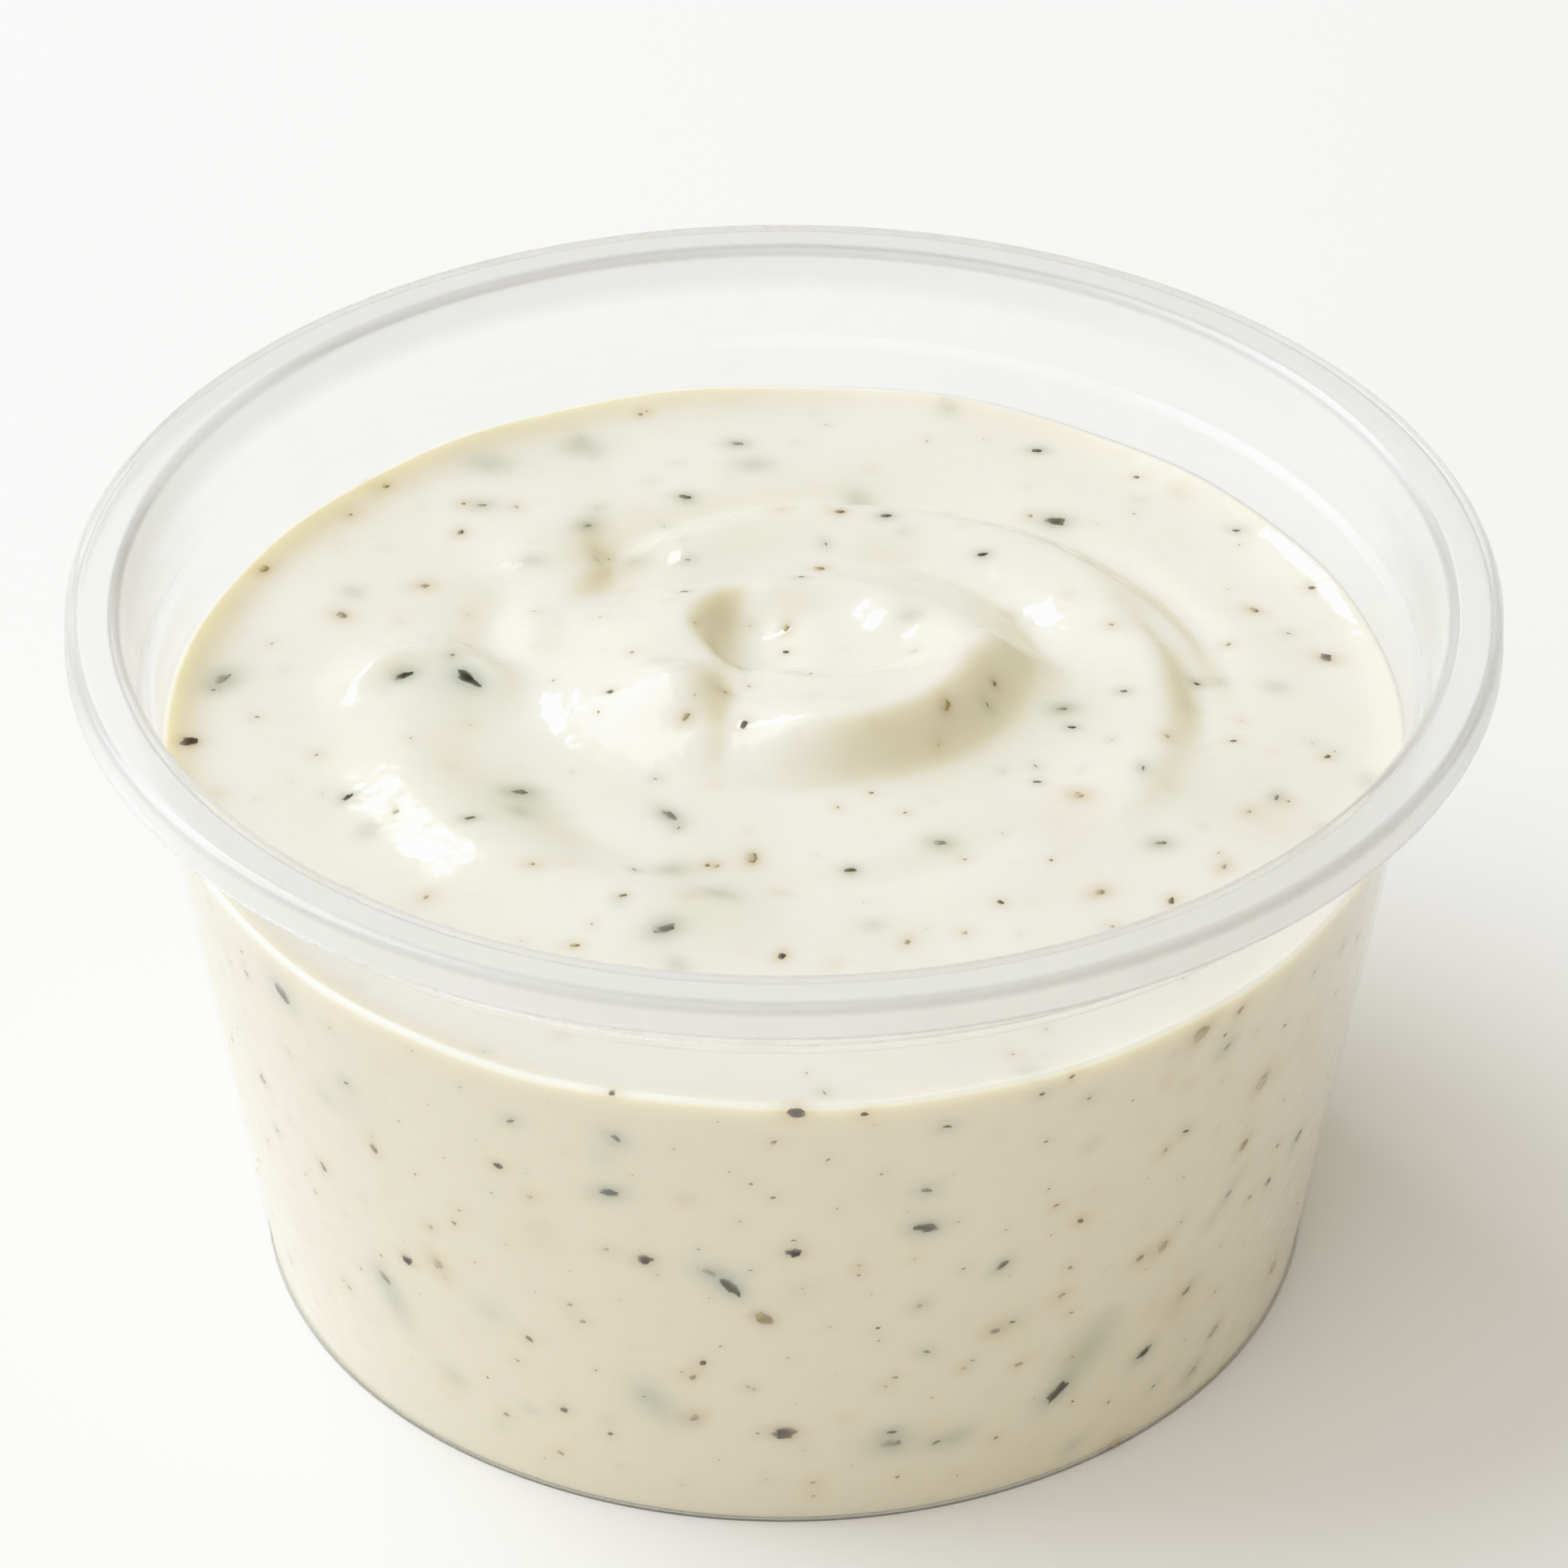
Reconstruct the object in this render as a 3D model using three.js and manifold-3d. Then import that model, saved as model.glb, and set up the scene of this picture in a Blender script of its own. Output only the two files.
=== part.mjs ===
// A serving of ranch dip in a clear portion cup.
//
// Millimetres, +Z up. The cup stands on z = 0 with its axis on the Z axis, and the front of the
// serving faces -Y. The cup is one thin shell: a flat floor, a wall that flares to a small ledge, a
// steeper collar above the ledge, and a rounded rim that turns down into a short skirt. The dip is
// one solid that fills the cup to about 8 mm below the rim, with a spooned swirl on top.

import * as THREE from 'three';
import { mergeVertices } from 'three/addons/utils/BufferGeometryUtils.js';
import Module from 'manifold-3d';

const wasm = await Module();
wasm.setup();

// Driving dimensions of the cup.
const RIM_RADIUS = 37;
const CUP_HEIGHT = 39.5;
const BASE_RADIUS = 28.1;
const LEDGE_RADIUS = 33.15;
const LEDGE_HEIGHT = 34.4;
const LEDGE_STEP = 0.35;
const MOUTH_RADIUS = 34.1;
const RIM_CORNER = 0.5;
const SKIRT_DROP = 2;
const SKIRT_FLARE = 0.05;
const WALL = 0.5;
const BASE_CORNER = 0.5;
const INNER_CORNER = 0.6;
const SEGMENTS = 72;
const CORNER_STEPS = 3;

// Driving dimensions of the dip.
const CLEARANCE = 0.3;
const FILL_LEVEL = 30.3;
const LEVEL_RISE = 1.6 / 64;
const DIP_CORNER = 0.8;
const TOP_RINGS = 28;

// The dip clings to the wall and stands a little higher there.
const CLING = { height: 0.66, width: 1.3, power: 1.5 };

// The mound in the middle. Its flank takes up a share of its radius, least towards one heading, in
// degrees, and most the other way.
const MOUND = { x: -0.9, y: 5, rx: 14.4, ry: 10.9, turn: 0, height: 2, flank: 0.48 };
const MOUND_STEEP = { heading: -45, share: 0.45 };

// The hollow in the mound, deeper at its left than at its right.
const HOLLOW = { x: 2.8, y: 7.4, rx: 8.6, ry: 5.6, turn: -8, depth: 1.75, flank: 0.6 };
const HOLLOW_RAMP = { x: 1.4, reach: 7.4, share: 0.35 };

// Round swells.
const SWELLS = [
  { x: -6, y: 1, rx: 4, ry: 3.4, turn: -20, height: 1 },
  { x: -19.2, y: 3.2, rx: 6.5, ry: 6, turn: 0, height: 0.6 },
  { x: -12.8, y: 15.6, rx: 4.8, ry: 3.6, turn: -30, height: 0.4 },
  { x: 5.5, y: 9.6, rx: 2.2, ry: 2.6, turn: 30, height: 0.3 },
  { x: 12.2, y: 5.2, rx: 3.4, ry: 2.6, turn: -40, height: 0.5 },
];

// Folds and creases left by the spoon; a crease has a height below 0. Each follows an arc about
// (x, y), from radius[0] at angle[0] to radius[1] at angle[1], in degrees from +X towards +Y. Its
// inner and outer sides have their own widths, and it fades out over the share 'ends' of its length.
const FOLDS = [
  // The lip round the hollow, and the crease behind it.
  { x: 2.4, y: 6, radius: [7.8, 8.4], angle: [-170, 60], height: 0.7, width: [2.2, 2.2], ends: 0.3 },
  { x: 2.4, y: 6, radius: [11.6, 9.6], angle: [-8, 85], height: -0.45, width: [0.5, 1.5], ends: 0.25 },
  // The steep left wall of the hollow.
  { x: 2.8, y: 7.2, radius: [6.2, 5.8], angle: [125, 235], height: -1.1, width: [2.4, 0.9], ends: 0.3 },
  // The slot beside the tail of the mound.
  { x: -24, y: -0.8, radius: [21.4, 21.4], angle: [-13, 14], height: -0.75, width: [1.1, 3.6], ends: 0.4 },
  // The pit at the back left.
  { x: -13.4, y: 15.8, radius: [4.4, 4.4], angle: [-70, 70], height: -0.8, width: [1, 2.6], ends: 0.4 },
  // The ridge at the left of the mound, and the trough beside it.
  { x: -0.5, y: 8, radius: [12.8, 12.8], angle: [158, 200], height: 0.35, width: [1.3, 1.1], ends: 0.4 },
  { x: -0.5, y: 8, radius: [15.2, 15.2], angle: [150, 205], height: -0.35, width: [1.2, 1.6], ends: 0.4 },
  // The outer turn of the swirl, round the back and the right, with the creases beside it.
  { x: 3, y: 1.7, radius: [18.2, 17.6], angle: [-14, 140], height: 0.9, width: [3.6, 1.5], ends: 0.2 },
  { x: 3, y: 1.7, radius: [20.4, 19.6], angle: [-10, 150], height: -0.5, width: [0.8, 1.4], ends: 0.25 },
  { x: 3, y: 1.7, radius: [19, 18], angle: [-14, 42], height: -0.65, width: [1, 0.9], ends: 0.35 },
  // The low turn between the lip and the outer turn.
  { x: 5, y: 0.6, radius: [14.3, 15], angle: [-45, 30], height: 0.5, width: [3, 1.4], ends: 0.35 },
  // The outer turn at the front left, and the trough inside it.
  { x: -1, y: 2, radius: [19.5, 18.5], angle: [175, 275], height: 1, width: [3.6, 2.8], ends: 0.25 },
  { x: 0, y: 2, radius: [14.6, 16.5], angle: [195, 330], height: -0.35, width: [1.6, 1.6], ends: 0.25 },
  // The small curl at the left.
  { x: -18.6, y: 2.6, radius: [3.7, 4.1], angle: [-25, 200], height: 0.85, width: [1.5, 1.4], ends: 0.3 },
];

// Slow waves over the whole top: height, and turns in radians per millimetre along X and Y.
const WAVES = [
  { height: 0.06, alongX: 0.42, alongY: 0.3, phase: 1 },
  { height: 0.06, alongX: 0.25, alongY: -0.46, phase: 0.4 },
];

// The largest flakes of herb and pepper on the top: [x, y, length, turn in degrees].
const LARGE_FLAKES = [
  [-16.6, 3.7, 1.9, -49], [-20, 4, 1.2, 32], [14.8, 19.7, 1.54, -17], [-13.6, -5.6, 1.45, 14],
  [-5.9, -7.6, 1.4, -48], [-31, -1.3, 1.27, 37], [28.7, 6.6, 1.18, -28], [-5.4, 22, 0.99, -14],
  [-6, -18, 1.6, 25], [-22.5, -6.2, 0.92, 45], [14, 26.5, 0.9, -3], [5.5, 18.8, 0.9, 0],
  [-16.1, -9.1, 0.9, 22], [3.4, -12, 0.9, 1], [3, 19.2, 0.9, -8], [-17.6, 18.5, 0.9, 58],
  [-0.1, -19.5, 0.9, 70], [19.6, -14.7, 0.9, 76], [-2.1, -1.9, 0.9, 82], [10.7, 15.5, 0.9, 5],
];
const FLAKE_WIDTH = 0.6;
const FLAKE_HEIGHT = 0.3;
const FLAKE_SINK = 0.08;

const WELD_TOLERANCE = 1e-4;

/** Points of an ellipse's arc about (x, z), both end angles included. */
function arc(x, z, radiusX, radiusZ, fromDegrees, toDegrees, steps) {
  const points = [];
  for (let i = 0; i <= steps; i += 1) {
    const angle = THREE.MathUtils.degToRad(fromDegrees + ((toDegrees - fromDegrees) * i) / steps);
    points.push(new THREE.Vector2(x + radiusX * Math.cos(angle), z + radiusZ * Math.sin(angle)));
  }
  return points;
}

/** Radius of the wall's outer face at a height below the ledge. */
function wallRadius(z) {
  return BASE_RADIUS + ((LEDGE_RADIUS - BASE_RADIUS) * z) / LEDGE_HEIGHT;
}

/** Lean of the wall from upright, in degrees. */
const WALL_LEAN = THREE.MathUtils.radToDeg(Math.atan2(LEDGE_RADIUS - BASE_RADIUS, LEDGE_HEIGHT));

/** A rounded corner between a flat floor at height z and the wall, inset from the wall's outer face. */
function floorCorner(z, inset, radius) {
  const centreRadius = wallRadius(z + radius) - inset - radius;
  return arc(centreRadius, z + radius, radius, radius, -90, -WALL_LEAN, CORNER_STEPS);
}

/** Removes normals and seams, and the collapsed triangles where a turned profile meets its axis. */
function weld(geometry) {
  const bare = geometry.clone();
  bare.deleteAttribute('normal');
  bare.deleteAttribute('uv');
  const merged = mergeVertices(bare, WELD_TOLERANCE);
  const corners = merged.index.array;
  const kept = [];
  for (let i = 0; i < corners.length; i += 3) {
    const [a, b, c] = corners.slice(i, i + 3);
    if (a !== b && b !== c && c !== a) kept.push(a, b, c);
  }
  merged.setIndex(kept);
  return merged;
}

/** Turns a profile of (radius, height) points about the Z axis into a closed solid. */
function turned(profile) {
  return new THREE.LatheGeometry(profile, SEGMENTS).rotateX(Math.PI / 2);
}

/** The cup's section, from the axis out along its underside, over the rim and back down inside. */
function cupProfile() {
  const skirtRadius = RIM_RADIUS + SKIRT_FLARE;
  const skirtBottom = CUP_HEIGHT - SKIRT_DROP;
  const cornerHeight = CUP_HEIGHT - RIM_CORNER;
  const rimUnderside = CUP_HEIGHT - WALL;
  const underLedge = LEDGE_HEIGHT - WALL;
  return [
    new THREE.Vector2(0, 0),
    ...floorCorner(0, 0, BASE_CORNER),
    new THREE.Vector2(wallRadius(underLedge), underLedge),
    new THREE.Vector2(LEDGE_RADIUS + LEDGE_STEP, LEDGE_HEIGHT - WALL / 2),
    new THREE.Vector2(MOUTH_RADIUS + WALL, rimUnderside),
    new THREE.Vector2(RIM_RADIUS - WALL, rimUnderside),
    new THREE.Vector2(skirtRadius - WALL, skirtBottom),
    new THREE.Vector2(skirtRadius, skirtBottom),
    ...arc(RIM_RADIUS - RIM_CORNER, cornerHeight, RIM_CORNER, RIM_CORNER, 0, 90, CORNER_STEPS),
    ...arc(MOUTH_RADIUS + RIM_CORNER, cornerHeight, RIM_CORNER, RIM_CORNER, 90, 180, CORNER_STEPS),
    new THREE.Vector2(LEDGE_RADIUS - WALL + LEDGE_STEP, LEDGE_HEIGHT + WALL / 4),
    new THREE.Vector2(LEDGE_RADIUS - WALL, LEDGE_HEIGHT),
    ...floorCorner(WALL, WALL, INNER_CORNER).reverse(),
    new THREE.Vector2(0, WALL),
  ];
}

/** Eases from 0 to 1 as t goes from 0 to 1. */
function ease(t) {
  const s = THREE.MathUtils.clamp(t, 0, 1);
  return s * s * (3 - 2 * s);
}

/** Distance of (x, y) from an oval's centre, as a share of the oval's radius that way. */
function ovalShare(x, y, oval) {
  const turn = THREE.MathUtils.degToRad(oval.turn);
  const dx = x - oval.x;
  const dy = y - oval.y;
  const along = (dx * Math.cos(turn) + dy * Math.sin(turn)) / oval.rx;
  const across = (dy * Math.cos(turn) - dx * Math.sin(turn)) / oval.ry;
  return Math.hypot(along, across);
}

/** Height that one fold adds at (x, y). */
function foldHeight(x, y, fold) {
  const [from, to] = fold.angle;
  const middle = (from + to) / 2;
  const heading = THREE.MathUtils.radToDeg(Math.atan2(y - fold.y, x - fold.x));
  const nearMiddle = THREE.MathUtils.euclideanModulo(heading - middle + 180, 360) - 180 + middle;
  const share = (nearMiddle - from) / (to - from);
  const crest = THREE.MathUtils.lerp(fold.radius[0], fold.radius[1], THREE.MathUtils.clamp(share, 0, 1));
  const offCrest = Math.hypot(x - fold.x, y - fold.y) - crest;
  const width = offCrest < 0 ? fold.width[0] : fold.width[1];
  const fade = ease(share / fold.ends) * ease((1 - share) / fold.ends);
  return fold.height * Math.exp(-((offCrest / width) ** 2)) * fade;
}

/** Share of the mound's radius that its flank takes up, on the way from its centre to (x, y). */
function moundFlank(x, y) {
  const heading = Math.atan2(y - MOUND.y, x - MOUND.x);
  const offSteepest = heading - THREE.MathUtils.degToRad(MOUND_STEEP.heading);
  return MOUND.flank * (1 - MOUND_STEEP.share * Math.cos(offSteepest));
}

/** Height of the dip's top at (x, y). */
function dipTop(x, y) {
  const fromWall = Math.max(0, dipRadius(FILL_LEVEL) - Math.hypot(x, y));
  const rampShare = THREE.MathUtils.clamp((x - HOLLOW_RAMP.x) / HOLLOW_RAMP.reach, -1, 1);
  const hollowDepth = HOLLOW.depth * (1 - HOLLOW_RAMP.share * rampShare);
  let z = FILL_LEVEL + LEVEL_RISE * y;
  z += CLING.height * Math.exp(-((fromWall / CLING.width) ** CLING.power));
  z += MOUND.height * ease((1 - ovalShare(x, y, MOUND)) / moundFlank(x, y));
  z -= hollowDepth * ease((1 - ovalShare(x, y, HOLLOW)) / HOLLOW.flank);
  for (const swell of SWELLS) z += swell.height * ease(1 - ovalShare(x, y, swell));
  for (const fold of FOLDS) z += foldHeight(x, y, fold);
  for (const wave of WAVES) z += wave.height * Math.sin(wave.alongX * x + wave.alongY * y + wave.phase);
  return z;
}

/** Radius of the dip at a height: the wall's inner face less the clearance. */
function dipRadius(z) {
  return wallRadius(z) - WALL - CLEARANCE;
}

/** The dip without its flakes: a turned solid whose top rings are lifted to the swirl. */
function dipBody() {
  const floor = WALL + CLEARANCE;
  const sides = [new THREE.Vector2(0, floor), ...floorCorner(floor, WALL + CLEARANCE, DIP_CORNER)];
  const edge = dipRadius(FILL_LEVEL);
  const profile = [...sides];
  for (let ring = 0; ring <= TOP_RINGS; ring += 1) {
    profile.push(new THREE.Vector2(edge * (1 - ring / TOP_RINGS), FILL_LEVEL));
  }
  const geometry = turned(profile);
  const position = geometry.attributes.position;
  for (let i = 0; i < position.count; i += 1) {
    if (i % profile.length < sides.length) continue;
    position.setZ(i, dipTop(position.getX(i), position.getY(i)));
  }
  return geometry;
}

/** One flake, lying on the dip's top and sunk a little into it. */
function flake([x, y, length, turn]) {
  return new THREE.SphereGeometry(1, 6, 4)
    .rotateX(Math.PI / 2)
    .scale(length / 2, FLAKE_WIDTH / 2, FLAKE_HEIGHT)
    .rotateZ(THREE.MathUtils.degToRad(turn))
    .translate(x, y, dipTop(x, y) - FLAKE_SINK);
}

/** A closed geometry as a solid that can be joined. */
function toSolid(geometry) {
  const welded = weld(geometry);
  const vertProperties = new Float32Array(welded.attributes.position.array);
  const triVerts = new Uint32Array(welded.index.array);
  return new wasm.Manifold(new wasm.Mesh({ numProp: 3, vertProperties, triVerts }));
}

/** A solid as a geometry. */
function toGeometry(solid) {
  const mesh = solid.getMesh();
  const geometry = new THREE.BufferGeometry();
  geometry.setAttribute('position', new THREE.BufferAttribute(mesh.vertProperties, 3));
  geometry.setIndex(new THREE.BufferAttribute(mesh.triVerts, 1));
  geometry.computeVertexNormals();
  return geometry;
}

/** The clear shell. */
function makeCup() {
  const plastic = new THREE.MeshStandardMaterial({
    color: 0xf4f6f6,
    roughness: 0.08,
    metalness: 0,
    transparent: true,
    opacity: 0.3,
  });
  const cup = new THREE.Mesh(weld(turned(cupProfile())), plastic);
  cup.name = 'cup';
  return cup;
}

/** The dip with its largest flakes joined on. */
function makeDip() {
  const cream = new THREE.MeshStandardMaterial({ color: 0xeeebdc, roughness: 0.3, metalness: 0 });
  let body = toSolid(dipBody());
  for (const place of LARGE_FLAKES) body = body.add(toSolid(flake(place)));
  const dip = new THREE.Mesh(toGeometry(body), cream);
  dip.name = 'dip';
  return dip;
}

const serving = new THREE.Group();
serving.add(makeCup(), makeDip());

export default serving;
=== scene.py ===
# %% [markdown]
# # A serving of ranch dip in a clear cup
#
# The real object is a thin moulded plastic cup, filled with a thick cream that was spooned in with
# a turn of the wrist and is full of chopped herbs, cracked pepper and bits of dried garlic.
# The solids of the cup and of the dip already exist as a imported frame. This lesson dresses them: each
# new piece sits exactly where its solid is, and then stands in for it.

# %% Load the frame
import math
import random

import bmesh
import bpy
from mathutils import Matrix, Vector
from mathutils.kdtree import KDTree


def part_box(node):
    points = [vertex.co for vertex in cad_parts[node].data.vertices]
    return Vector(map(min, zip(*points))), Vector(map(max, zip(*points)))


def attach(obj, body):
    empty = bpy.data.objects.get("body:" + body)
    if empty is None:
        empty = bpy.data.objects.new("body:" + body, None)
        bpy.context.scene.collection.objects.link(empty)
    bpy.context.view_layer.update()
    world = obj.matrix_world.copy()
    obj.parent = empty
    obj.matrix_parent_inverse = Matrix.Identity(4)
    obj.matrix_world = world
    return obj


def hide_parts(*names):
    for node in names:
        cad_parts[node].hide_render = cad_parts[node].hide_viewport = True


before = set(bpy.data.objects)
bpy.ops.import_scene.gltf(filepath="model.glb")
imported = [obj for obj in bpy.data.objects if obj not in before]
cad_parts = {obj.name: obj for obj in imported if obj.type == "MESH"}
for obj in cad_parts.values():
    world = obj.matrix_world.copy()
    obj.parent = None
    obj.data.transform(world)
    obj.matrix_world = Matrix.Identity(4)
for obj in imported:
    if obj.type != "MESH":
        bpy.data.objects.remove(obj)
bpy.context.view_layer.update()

MM = 0.001
HAIR = 1e-4

# %% [markdown]
# ## Sizes
#
# The outside of the cup is read from the frame, so the dressed cup can't drift from the solid one.
# What the frame's box doesn't say, such as where the ledge sits, is named here once, in millimetres,
# and every later cell works from these names.

# %% Name the sizes
cup_low, cup_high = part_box("cup")
CUP_HEIGHT = (cup_high[2] - cup_low[2]) / MM
SKIRT_FLARE = 0.05
RIM_RADIUS = cup_high[0] / MM - SKIRT_FLARE
BASE_RADIUS = 28.1
LEDGE_RADIUS = 33.15
LEDGE_HEIGHT = 34.4
LEDGE_STEP = 0.35
MOUTH_RADIUS = 34.1
RIM_CORNER = 0.5
SKIRT_DROP = 2
WALL = 0.5
BASE_CORNER = 0.5
INNER_CORNER = 0.6
WALL_LEAN = math.degrees(math.atan2(LEDGE_RADIUS - BASE_RADIUS, LEDGE_HEIGHT))
FULL_TURN = 2 * math.pi


def wall_radius(z):
    """Radius of the wall's outer face at a height, both in millimetres."""
    return BASE_RADIUS + (LEDGE_RADIUS - BASE_RADIUS) * z / LEDGE_HEIGHT


print("cup", round(CUP_HEIGHT, 2), "mm high, rim", round(2 * RIM_RADIUS, 2), "mm across")

# %% [markdown]
# ## The camera
#
# The photograph was taken with a long lens, which hardly tapers the cup, from about 34 degrees above
# the table. The lens, the distance and the tilt were worked out together from the cup's rim and base,
# so the camera is built from those three numbers and looks at a point on the cup's axis.

# %% Place the camera
CAMERA_DISTANCE = 383.3
CAMERA_TILT = math.radians(34.49)
LOOK_HEIGHT = 26.91
SENSOR_WIDTH = 36
LENS = 167.7

camera_data = bpy.data.cameras.new("camera")
camera_data.sensor_width = SENSOR_WIDTH
camera_data.lens = LENS
camera = bpy.data.objects.new("camera", camera_data)
bpy.context.scene.collection.objects.link(camera)
back = Vector((0, -math.cos(CAMERA_TILT), math.sin(CAMERA_TILT)))
camera.location = (Vector((0, 0, LOOK_HEIGHT)) + back * CAMERA_DISTANCE) * MM
camera.rotation_euler = (-back).to_track_quat("-Z", "Y").to_euler()
bpy.context.scene.camera = camera
print("camera at", [round(c, 4) for c in camera.location])

# %% [markdown]
# ## Writing shader maths as sums
#
# A material is a graph of nodes, and a long formula is hard to read as a graph. The small class below
# wraps the socket that a node gives out, so that ordinary Python sums add the Math nodes, and one
# function adds any other node from its type, its settings and its inputs.


# %% Wrap shader sockets
def node(tree, kind, settings=None, inputs=None, output=0):
    """Adds a node of a kind, sets it up, feeds its sockets with values or links, and wraps one output."""
    made = tree.nodes.new(kind)
    for key, value in (settings or {}).items():
        setattr(made, key, value)
    for key, value in (inputs or {}).items():
        if isinstance(value, Socket):
            tree.links.new(value.link, made.inputs[key])
        else:
            made.inputs[key].default_value = value
    return Socket(tree, made.outputs[output])


class Socket:
    """A node's output that can be used in sums, on either side of a number."""

    def __init__(self, tree, link):
        self.tree = tree
        self.link = link

    def maths(self, operation, first, second):
        return node(self.tree, "ShaderNodeMath", {"operation": operation}, {0: first, 1: second})

    def __add__(self, other):
        return self.maths("ADD", self, other)

    def __radd__(self, other):
        return self.maths("ADD", other, self)

    def __sub__(self, other):
        return self.maths("SUBTRACT", self, other)

    def __rsub__(self, other):
        return self.maths("SUBTRACT", other, self)

    def __mul__(self, other):
        return self.maths("MULTIPLY", self, other)

    def __rmul__(self, other):
        return self.maths("MULTIPLY", other, self)


def new_material(name):
    """An empty node material and its tree."""
    material = bpy.data.materials.new(name)
    material.use_nodes = True
    material.node_tree.nodes.clear()
    return material, material.node_tree


def mix_colours(tree, factor, first, second):
    """A colour between two others."""
    settings = {"data_type": "RGBA"}
    return node(tree, "ShaderNodeMix", settings, {"Factor": factor, 6: first, 7: second}, output=2)


def mix_shaders(tree, factor, first, second):
    """A surface between two others."""
    return node(tree, "ShaderNodeMixShader", None, {0: factor, 1: first, 2: second})


def stored(tree, name):
    """The number that each point of a piece stores under a name."""
    return node(tree, "ShaderNodeAttribute", {"attribute_name": name}, output=2)


def noise(tree, coordinates, per_metre, detail=2.0):
    """Soft noise in the piece's own space, with so many features a metre."""
    inputs = {"Vector": coordinates, "Scale": per_metre, "Detail": detail}
    return node(tree, "ShaderNodeTexNoise", None, inputs)


def stretch(tree, value, low, high):
    """Eases a value to 0 at low and to 1 at high."""
    settings = {"interpolation_type": "SMOOTHSTEP"}
    inputs = {"Value": value, "From Min": low, "From Max": high}
    return node(tree, "ShaderNodeMapRange", settings, inputs)


def close_material(tree, surface):
    """Joins a shader to the material's output."""
    node_out = tree.nodes.new("ShaderNodeOutputMaterial")
    tree.links.new(surface.link, node_out.inputs["Surface"])


def object_coordinates(tree):
    """The place of a point in the piece's own space, in metres."""
    return node(tree, "ShaderNodeTexCoord", output=3)


print("shader helpers ready")

# %% [markdown]
# ## Turning a section
#
# A moulded cup is round, so its section is drawn once, as a line of points from the axis round to the
# axis again, and is spun. Straight stretches need only their ends, and round ones are arcs. The spin
# repeats the points on the axis, so doubles are merged first and the normals are worked out after.


# %% Spin a section into a piece
def arc(x, z, radius_x, radius_z, start, end, steps):
    """Points along an ellipse's arc, both ends included, with angles in degrees."""
    angles = [math.radians(start + (end - start) * i / steps) for i in range(steps + 1)]
    return [(x + radius_x * math.cos(a), z + radius_z * math.sin(a)) for a in angles]


def floor_corner(z, inset, radius, steps):
    """The rounded corner between a flat floor and the wall, so far inside the wall's outer face."""
    centre = wall_radius(z + radius) - inset - radius
    return arc(centre, z + radius, radius, radius, -90, -WALL_LEAN, steps)


def hold_corners(points, hold, longest):
    """Adds a point close to each end of every long stretch, so that smooth shading bends only there."""
    held = points[:1]
    for start, end in zip(points, points[1:]):
        length = math.dist(start, end)
        if length > longest:
            for share in (hold / length, 1 - hold / length):
                held.append(tuple(a + (b - a) * share for a, b in zip(start, end)))
        held.append(end)
    return held


def spin_section(points, steps):
    """A bmesh of a section in millimetres, spun once round the Z axis."""
    bm = bmesh.new()
    line = [bm.verts.new((x, 0, z)) for x, z in points]
    edges = [bm.edges.new(pair) for pair in zip(line, line[1:])]
    bmesh.ops.spin(
        bm, geom=line + edges, cent=(0, 0, 0), axis=(0, 0, 1), angle=FULL_TURN, steps=steps, use_merge=True
    )
    bmesh.ops.remove_doubles(bm, verts=bm.verts, dist=HAIR)
    bmesh.ops.recalc_face_normals(bm, faces=bm.faces)
    return bm


def finish_piece(bm, name, material):
    """Scales a bmesh from millimetres to metres and makes it a smooth-shaded object at the origin."""
    bmesh.ops.scale(bm, vec=(MM, MM, MM), verts=bm.verts)
    for face in bm.faces:
        face.smooth = True
    mesh = bpy.data.meshes.new(name)
    bm.to_mesh(mesh)
    bm.free()
    piece = bpy.data.objects.new(name, mesh)
    bpy.context.scene.collection.objects.link(piece)
    mesh.materials.append(material)
    print(name, len(mesh.polygons), "faces")
    return piece


# %% [markdown]
# ## The clear cup
#
# The cup is one sheet of clear plastic half a millimetre thick, and a solid with both its faces, because
# a clear thing shows by what its two faces do. Where the sheet is bent and thick, at the rim, the ledge
# and the foot, it refracts what lies behind it, and that draws the soft lines along the rim. The plain
# wall below the ledge is too thin to bend a view, and refraction there would only double the flakes, so
# it is see-through with a faint gloss that grows where it is seen edge-on. A little milky plastic is
# mixed in, more at the rim. The rounded corners of the rim are painted darker, a painted shade for the
# dark lines that their bends show. The foot is painted dark olive, a painted shadow for the cream and
# the cup's shadow seen through its bend.
#
# Light comes through, so the cup's shadow is made a clear one: the plastic lets straight light pass on
# a shadow ray and on a diffuse ray, which also keeps the dip inside it bright.

# %% Clear plastic
CLEAR = (0.99, 0.99, 0.99, 1)
RIM_CLEAR = (0.95, 0.95, 0.953, 1)
EDGE_ON = (0.9, 0.9, 0.903, 1)
# Painted shade: the rim's rounded top corners are painted darker, for the dark lines that their bends show.
CORNER_SHADE = (0.6, 0.6, 0.605, 1)
# Painted shadow: the foot is painted dark olive, for the cream and the cup's shadow seen through its bend.
FOOT_SHADOW = (0.42, 0.36, 0.22, 1)
MILKY = (0.87, 0.87, 0.87, 1)
MILKY_ROUGHNESS = 0.3
MILKY_WALL = 0.02
MILKY_RIM = 0.2
HAZE_PER_METRE = 260
HAZE_LOW, HAZE_HIGH = 0.35, 0.75
HAZE_SHARE = 0.02
PLASTIC_IOR = 1.47
PLASTIC_ROUGHNESS = 0.2
GLOSS = (0.95, 0.95, 0.95, 1)
GLOSS_ROUGHNESS = 0.22
GLOSS_FACING = 0.04
GLOSS_EDGE_ON = 0.3
CORNER_BAND = 0.35
FOOT_BAND = 0.28
SHADOW_TINT = (0.985, 0.985, 0.983, 1)
STRAIGHT_EDGE_ON = 0.75
EDGE_ON_BLEND = 0.5
EDGE_ON_STARTS = 0.45
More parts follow.
